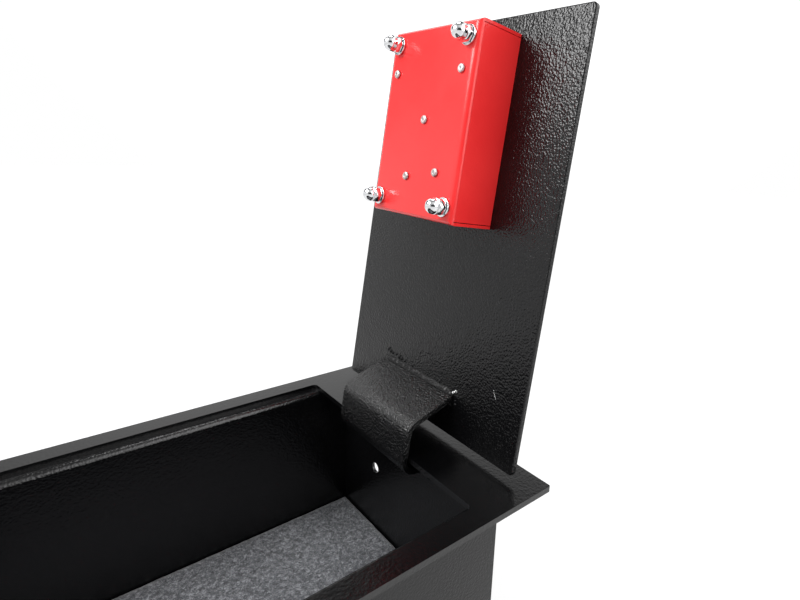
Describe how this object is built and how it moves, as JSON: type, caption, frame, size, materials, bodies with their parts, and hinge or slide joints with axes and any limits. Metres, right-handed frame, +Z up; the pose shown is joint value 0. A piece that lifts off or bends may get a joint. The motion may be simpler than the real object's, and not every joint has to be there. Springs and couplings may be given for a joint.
{
  "type": "underfloor safe",
  "caption": "Sheet steel underfloor safe with a floor frame, a felt-lined body and a hinged lid that carries a key-locked turning handle and sliding bolts in a red case",
  "frame": {"origin": "Centre of the underside of the base plate, on the floor of the recess that the safe stands in.", "axes": "+X points to the hinge end, +Y to the far long side, +Z up out of the mouth. The lid is drawn open, as in the picture."},
  "size_m": [0.5137, 0.29, 0.522],
  "materials": {
    "black_coat": "semi-gloss black powder coat with a fine hammered texture",
    "red_coat": "semi-gloss red powder coat with a light orange peel",
    "felt": "grey pressed felt",
    "chrome": "bright chrome plating",
    "zinc_steel": "bright zinc plating",
    "brass": "plain turned brass"
  },
  "bodies": {
    "body": {"frame_plate": "black_coat", "near_side_wall": "black_coat", "far_side_wall": "black_coat", "hinge_end_wall": "black_coat", "latch_end_wall": "black_coat", "base_plate": "black_coat", "felt_mat": "felt", "near_hinge_lug": "black_coat", "far_hinge_lug": "black_coat", "hinge_pin": "zinc_steel", "hinge_pin_clip": "zinc_steel"},
    "lid": {"lid_plate": "black_coat", "hinge_bracket": "black_coat", "hinge_barrel": "black_coat", "outer_bracket_weld": "black_coat", "inner_bracket_weld": "black_coat", "lock_case": "red_coat", "case_stud_1": "zinc_steel", "case_stud_2": "zinc_steel", "case_stud_3": "zinc_steel", "case_stud_4": "zinc_steel", "case_washer_1": "chrome", "case_washer_2": "chrome", "case_washer_3": "chrome", "case_washer_4": "chrome", "dome_nut_1": "chrome", "dome_nut_2": "chrome", "dome_nut_3": "chrome", "dome_nut_4": "chrome", "bearing_rivet_1": "zinc_steel", "bearing_rivet_2": "zinc_steel", "guide_rivet_1": "zinc_steel", "guide_rivet_2": "zinc_steel", "carriage_guide_post": "zinc_steel", "spindle_bearing": "zinc_steel", "bolt_guide": "zinc_steel", "handle_cup": "zinc_steel"},
    "handle": {"turn_handle": "zinc_steel", "drive_spindle": "zinc_steel", "drive_cam": "zinc_steel", "crank_pin": "zinc_steel"},
    "plug": {"key_plug": "brass", "lid_key": "brass"},
    "pawl": {"locking_pawl": "zinc_steel"},
    "carriage": {"bolt_carriage": "zinc_steel", "near_lock_bolt": "chrome", "far_lock_bolt": "chrome"}
  },
  "joints": [
    {"name": "lid_hinge", "type": "hinge", "parent": "body", "child": "lid", "pos_m": [0.20022, 0.008, 0.1335], "axis": [0, -1, 0], "range_deg": [0, 98.2]},
    {"name": "handle_turn", "type": "hinge", "parent": "lid", "child": "handle", "pos_m": [0.25588, -0.01, 0.38301], "axis": [0.9898, 0, -0.1426], "range_deg": [0, 90]},
    {"name": "bolt_slide", "type": "slide", "parent": "lid", "child": "carriage", "axis": [0.1426, 0, 0.9898], "range_m": [0, 0.026]},
    {"name": "key_turn", "type": "hinge", "parent": "handle", "child": "plug", "pos_m": [0.25588, -0.01, 0.38301], "axis": [-0.9898, 0, 0.1426], "range_deg": [0, 90]},
    {"name": "pawl_slide", "type": "slide", "parent": "handle", "child": "pawl", "axis": [-0.1426, 0, -0.9898], "range_m": [0, 0.003]}
  ],
  "couplings": [
    {"joint": "handle_turn", "follows": "bolt_slide", "rad_per_m": 60.415},
    {"joint": "key_turn", "follows": "pawl_slide", "rad_per_m": 523.59}
  ]
}
